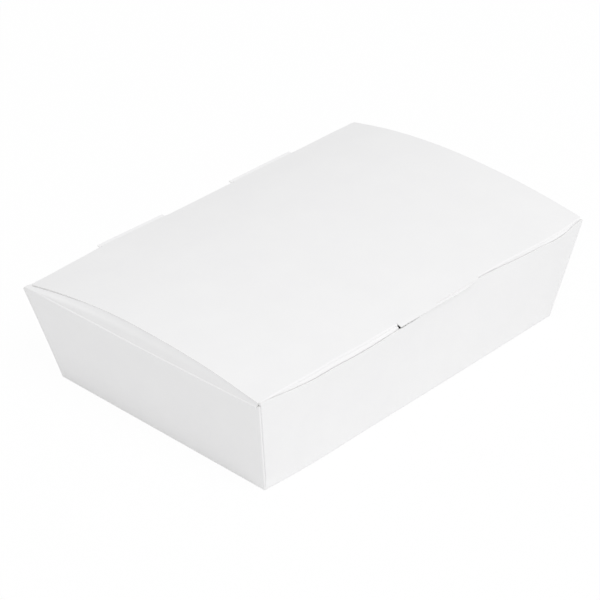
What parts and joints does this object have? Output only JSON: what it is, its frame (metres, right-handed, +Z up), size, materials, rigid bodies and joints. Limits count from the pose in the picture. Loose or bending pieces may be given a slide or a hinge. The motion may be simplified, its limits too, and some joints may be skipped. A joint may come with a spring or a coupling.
{
  "type": "takeout food box",
  "caption": "Shallow tapered takeout box folded from one sheet of white paperboard, with a bowed hinged lid, tuck flap, small front tab and tabs at the hinge.",
  "frame": {"origin": "middle of the underside of the base", "axes": "+X along the long side, +Y towards the hinge, +Z up"},
  "size_m": [0.22, 0.1521, 0.0594],
  "materials": {
    "tray_board": "matte",
    "lid_board": "matte"
  },
  "bodies": {
    "tray": {"tray": "tray_board"},
    "lid": {"lid": "lid_board"}
  },
  "joints": [
    {"name": "lid_hinge", "type": "hinge", "parent": "tray", "child": "lid", "pos_m": [0, 0.07375, 0.05105], "axis": [-1, 0, 0], "range_deg": [0, 180]}
  ]
}
